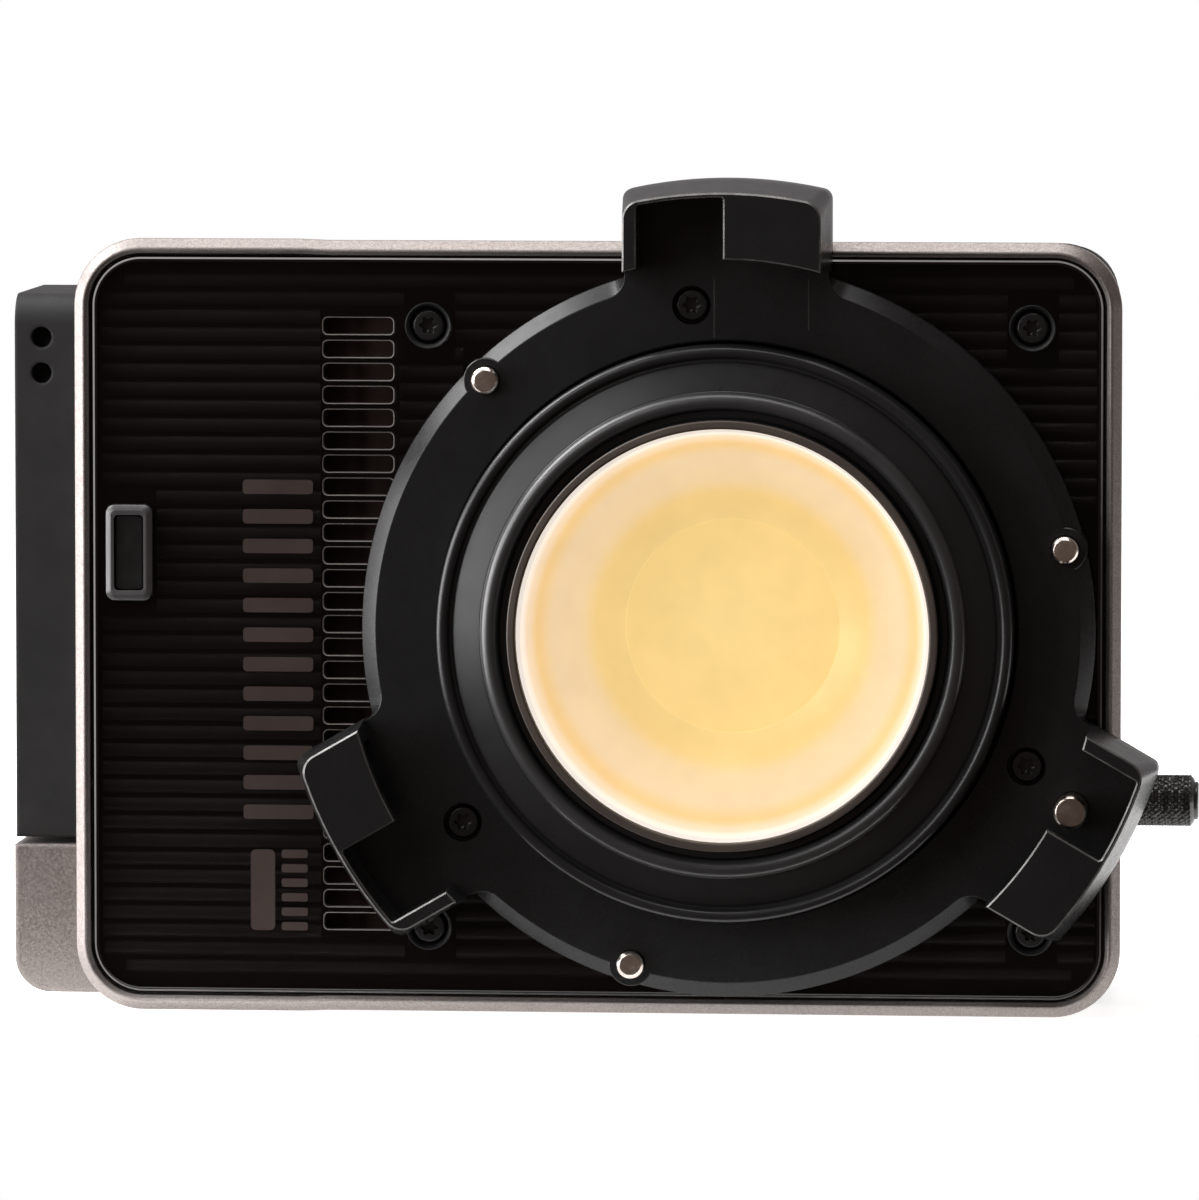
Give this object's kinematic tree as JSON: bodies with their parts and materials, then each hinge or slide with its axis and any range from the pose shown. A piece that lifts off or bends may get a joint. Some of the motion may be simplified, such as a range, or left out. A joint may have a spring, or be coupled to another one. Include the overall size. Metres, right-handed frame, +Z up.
{
  "type": "studio spotlight head",
  "caption": "Box-bodied LED studio spotlight head with a claw bayonet front mount, smoked front panel, side dock and rear controls.",
  "frame": {"origin": "on the optical axis, on the mount plate's flat face", "axes": "the light shines along -Y, +X is to the right seen from the front, +Z is up"},
  "size_m": [0.1989, 0.0792, 0.1401],
  "materials": {
    "shell_metal": "fine metallic flake, satin",
    "rear_plastic": "fine spark-eroded texture",
    "smoked_panel": "smoked, polished",
    "black_plastic": "moulded, satin",
    "cast_black": "black anodised, satin, worn edges",
    "inner_cast": "die cast",
    "black_steel": "blackened, oiled",
    "nickel": "turned, bright",
    "spring_steel": "drawn wire",
    "clear_glass": "polished, coated",
    "seal_rubber": "matt",
    "reflector": "vapour-coated",
    "white_plastic": "reflective white",
    "board_metal": "bare board",
    "phosphor": "yellow phosphor in silicone",
    "copper": "bare copper",
    "fin_aluminium": "bare sheet",
    "board_green": "solder mask",
    "board_blue": "solder mask",
    "component_black": "moulded",
    "display_glass": "polished, tinted",
    "grey_plastic": "satin",
    "red_plastic": "satin",
    "gold_contact": "plated",
    "rail_rubber": "fine grained skin"
  },
  "bodies": {
    "head": {"front_frame": "shell_metal", "rear_shell": "rear_plastic", "front_panel": "smoked_panel", "ribbed_panel": "black_plastic", "chassis": "inner_cast", "panel_screws": "black_steel", "shell_screws": "black_steel", "rear_feet": "seal_rubber", "rear_grille": "black_plastic", "stand_block": "inner_cast", "mount_plate": "cast_black", "mount_screws": "black_steel", "light_bezel": "cast_black", "lens_glass": "clear_glass", "lens_gasket": "seal_rubber", "reflector_cup": "reflector", "cob_holder": "white_plastic", "cob_board": "board_metal", "cob_phosphor": "phosphor", "dust_filter": "black_plastic", "heat_base": "copper", "heat_fins": "fin_aluminium", "heat_pipes": "copper", "fan_frame": "black_plastic", "fan_screws": "nickel", "driver_board": "board_green", "driver_parts": "component_black", "control_board": "board_blue", "display_module": "component_black", "display_window": "display_glass", "dial_encoders": "nickel", "button_switches": "component_black", "dc_inlet": "component_black", "usb_port": "nickel", "dock_rail": "rail_rubber", "dock_block": "shell_metal", "dock_contacts": "gold_contact", "dock_screws": "nickel", "latch_spring": "spring_steel", "button_surround": "grey_plastic", "release_spring": "spring_steel", "lock_bracket": "nickel", "lock_spring": "spring_steel", "plunger_springs_a": "spring_steel", "plunger_springs_b": "spring_steel", "plunger_springs_c": "spring_steel"},
    "fan": {"fan_rotor": "black_plastic"},
    "dial_left": {"dial_left": "grey_plastic"},
    "dial_right": {"dial_right": "grey_plastic"},
    "power_button": {"power_button": "red_plastic"},
    "mode_button": {"mode_button": "grey_plastic"},
    "effect_button": {"effect_button": "grey_plastic"},
    "release_button": {"release_button": "black_plastic"},
    "latch": {"dock_latch": "nickel"},
    "lock": {"lock_pin": "nickel", "lock_slide": "nickel", "lock_knob": "black_steel"},
    "plunger_a": {"plunger_a": "nickel"},
    "plunger_b": {"plunger_b": "nickel"},
    "plunger_c": {"plunger_c": "nickel"}
  },
  "joints": [
    {"name": "fan_spin", "type": "hinge", "parent": "head", "child": "fan", "pos_m": [0.004, 0.051, 0], "axis": [0, 1, 0], "continuous": true},
    {"name": "dial_left_turn", "type": "hinge", "parent": "head", "child": "dial_left", "pos_m": [-0.09, 0.0645, -0.006], "axis": [0, 1, 0], "continuous": true},
    {"name": "dial_right_turn", "type": "hinge", "parent": "head", "child": "dial_right", "pos_m": [-0.064, 0.0645, -0.006], "axis": [0, 1, 0], "continuous": true},
    {"name": "power_press", "type": "slide", "parent": "head", "child": "power_button", "axis": [0, -1, 0], "range_m": [0, 0.0006], "stiffness_N_per_m": 1500, "springref_m": -0.0006},
    {"name": "mode_press", "type": "slide", "parent": "head", "child": "mode_button", "axis": [0, -1, 0], "range_m": [0, 0.0006], "stiffness_N_per_m": 1500, "springref_m": -0.0006},
    {"name": "effect_press", "type": "slide", "parent": "head", "child": "effect_button", "axis": [0, -1, 0], "range_m": [0, 0.0006], "stiffness_N_per_m": 1500, "springref_m": -0.0006},
    {"name": "release_press", "type": "slide", "parent": "head", "child": "release_button", "axis": [0, 1, 0], "range_m": [0, 0.0015], "stiffness_N_per_m": 1200, "springref_m": -0.001, "deforming": ["release_spring"]},
    {"name": "latch_draw", "type": "slide", "parent": "head", "child": "latch", "axis": [1, 0, 0], "range_m": [0, 0.0015], "stiffness_N_per_m": 800, "springref_m": -0.001, "deforming": ["latch_spring"]},
    {"name": "lock_pull", "type": "slide", "parent": "head", "child": "lock", "axis": [0, 1, 0], "range_m": [0, 0.006], "stiffness_N_per_m": 600, "springref_m": -0.003, "deforming": ["lock_spring"]},
    {"name": "plunger_a_press", "type": "slide", "parent": "head", "child": "plunger_a", "axis": [0, 1, 0], "range_m": [0, 0.0015], "stiffness_N_per_m": 1500, "springref_m": -0.0008, "deforming": ["plunger_springs_a"]},
    {"name": "plunger_b_press", "type": "slide", "parent": "head", "child": "plunger_b", "axis": [0, 1, 0], "range_m": [0, 0.0015], "stiffness_N_per_m": 1500, "springref_m": -0.0008, "deforming": ["plunger_springs_b"]},
    {"name": "plunger_c_press", "type": "slide", "parent": "head", "child": "plunger_c", "axis": [0, 1, 0], "range_m": [0, 0.0015], "stiffness_N_per_m": 1500, "springref_m": -0.0008, "deforming": ["plunger_springs_c"]}
  ],
  "couplings": [
    {"joint": "latch_draw", "follows": "release_press", "ratio": 1}
  ]
}
